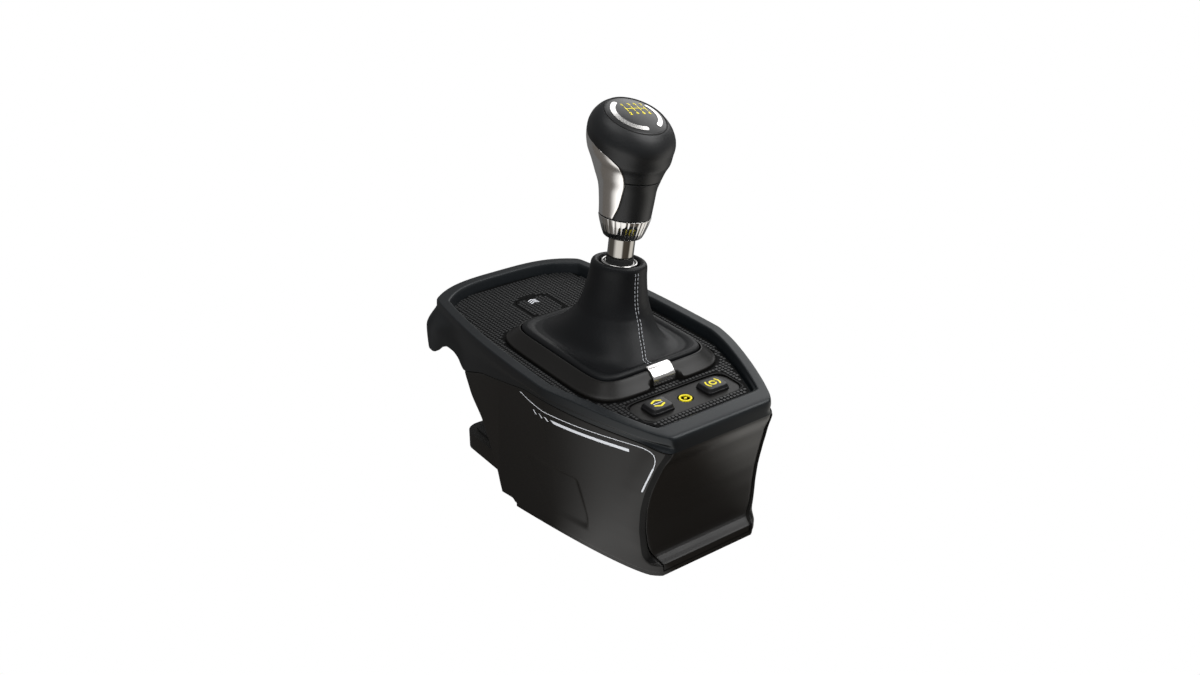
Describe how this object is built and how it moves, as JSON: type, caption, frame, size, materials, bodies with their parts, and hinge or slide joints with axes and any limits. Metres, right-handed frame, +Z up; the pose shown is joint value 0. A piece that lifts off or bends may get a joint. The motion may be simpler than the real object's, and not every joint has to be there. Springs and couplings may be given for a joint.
{
  "type": "sim racing gear shifter",
  "caption": "H-pattern gear lever with a leaning bright shaft, round knob and leather boot in a black tray-topped housing that clamps to a desk edge, with push keys and a release tab.",
  "frame": {"origin": "middle of the foot's underside", "axes": "+X to the driver's right, +Y away from the driver towards the desk, +Z up"},
  "size_m": [0.132, 0.2415, 0.2416],
  "materials": {
    "black_plastic": "fine satin grain",
    "tray_plastic": "fine satin grain",
    "deck_plastic": "raised grid",
    "soft_grip": "soft touch",
    "leatherette": "fine grain with a double stitched seam",
    "rubber": "matte",
    "bright": "polished",
    "satin_silver": "satin",
    "steel": "machined",
    "brass": "machined",
    "board": "solder mask",
    "chip": "moulded",
    "lens": "clear yellow",
    "key_plastic": "satin with printed marks"
  },
  "bodies": {
    "housing": {"base_plate": "black_plastic", "left_shell": "black_plastic", "right_shell": "black_plastic", "front_panel": "black_plastic", "rear_cover": "black_plastic", "boot_frame": "black_plastic", "lip_bracket": "black_plastic", "button_panel": "black_plastic", "top_tray": "tray_plastic", "deck_inlay": "deck_plastic", "foot_pads": "rubber", "lip_pad": "rubber", "indicator_lens": "lens", "key_board": "board", "shift_sensor": "board", "main_board": "board", "key_switches": "chip", "board_chips": "chip", "frame_clip": "satin_silver", "boot_lower": "leatherette", "tab_spring": "steel", "axle_bearings": "steel", "chassis": "steel", "gate_plate": "steel", "gate_posts": "steel", "usb_socket": "steel", "clamp_bridge": "steel", "guide_rods": "steel", "casing_screws": "steel", "detent_plunger": "brass"},
    "carrier": {"carrier": "steel", "carrier_axles": "steel", "select_pins": "steel", "preload_spring": "steel", "shift_magnet": "steel"},
    "lever": {"pivot_hub": "steel", "gate_pin": "steel", "lever_shaft": "bright", "knob_collar": "bright", "boot_ring": "bright", "ring_trim": "bright", "knob_grip": "soft_grip", "shaft_sleeve": "black_plastic", "knob_base": "black_plastic", "knob_badge": "black_plastic", "knob_inlay_left": "satin_silver", "knob_inlay_right": "satin_silver", "badge_arcs": "satin_silver", "knob_insert": "brass", "boot_upper": "leatherette"},
    "left_key": {"left_key": "key_plastic"},
    "right_key": {"right_key": "key_plastic"},
    "release_tab": {"release_tab": "deck_plastic"},
    "jaw": {"clamp_jaw": "black_plastic", "jaw_pad": "rubber", "clamp_nut": "brass"},
    "screw": {"clamp_screw": "steel", "screw_clip": "steel"}
  },
  "joints": [
    {"name": "shift", "type": "hinge", "parent": "housing", "child": "carrier", "pos_m": [0, 0.046, 0.082], "axis": [1, 0, 0], "range_deg": [-9, 9], "deforming": ["boot_lower", "boot_upper", "detent_plunger"]},
    {"name": "select", "type": "hinge", "parent": "carrier", "child": "lever", "pos_m": [0, 0.046, 0.082], "axis": [0, 1, 0], "range_deg": [-15, 0]},
    {"name": "left_key_press", "type": "slide", "parent": "housing", "child": "left_key", "axis": [0, 0, -1], "range_m": [0, 0.0012], "stiffness_N_per_m": 900},
    {"name": "right_key_press", "type": "slide", "parent": "housing", "child": "right_key", "axis": [0, 0, -1], "range_m": [0, 0.0012], "stiffness_N_per_m": 900},
    {"name": "release_press", "type": "slide", "parent": "housing", "child": "release_tab", "axis": [0, 0, -1], "range_m": [0, 0.0015], "stiffness_N_per_m": 1200, "deforming": ["tab_spring"]},
    {"name": "jaw_slide", "type": "slide", "parent": "housing", "child": "jaw", "axis": [0, 0, 1], "range_m": [0, 0.034]},
    {"name": "screw_turn", "type": "hinge", "parent": "housing", "child": "screw", "pos_m": [0, 0.084, 0.03], "axis": [0, 0, 1], "range_deg": [-4100, 0]}
  ],
  "couplings": [
    {"joint": "screw_turn", "follows": "jaw_slide", "rad_per_m": -2094.4}
  ]
}
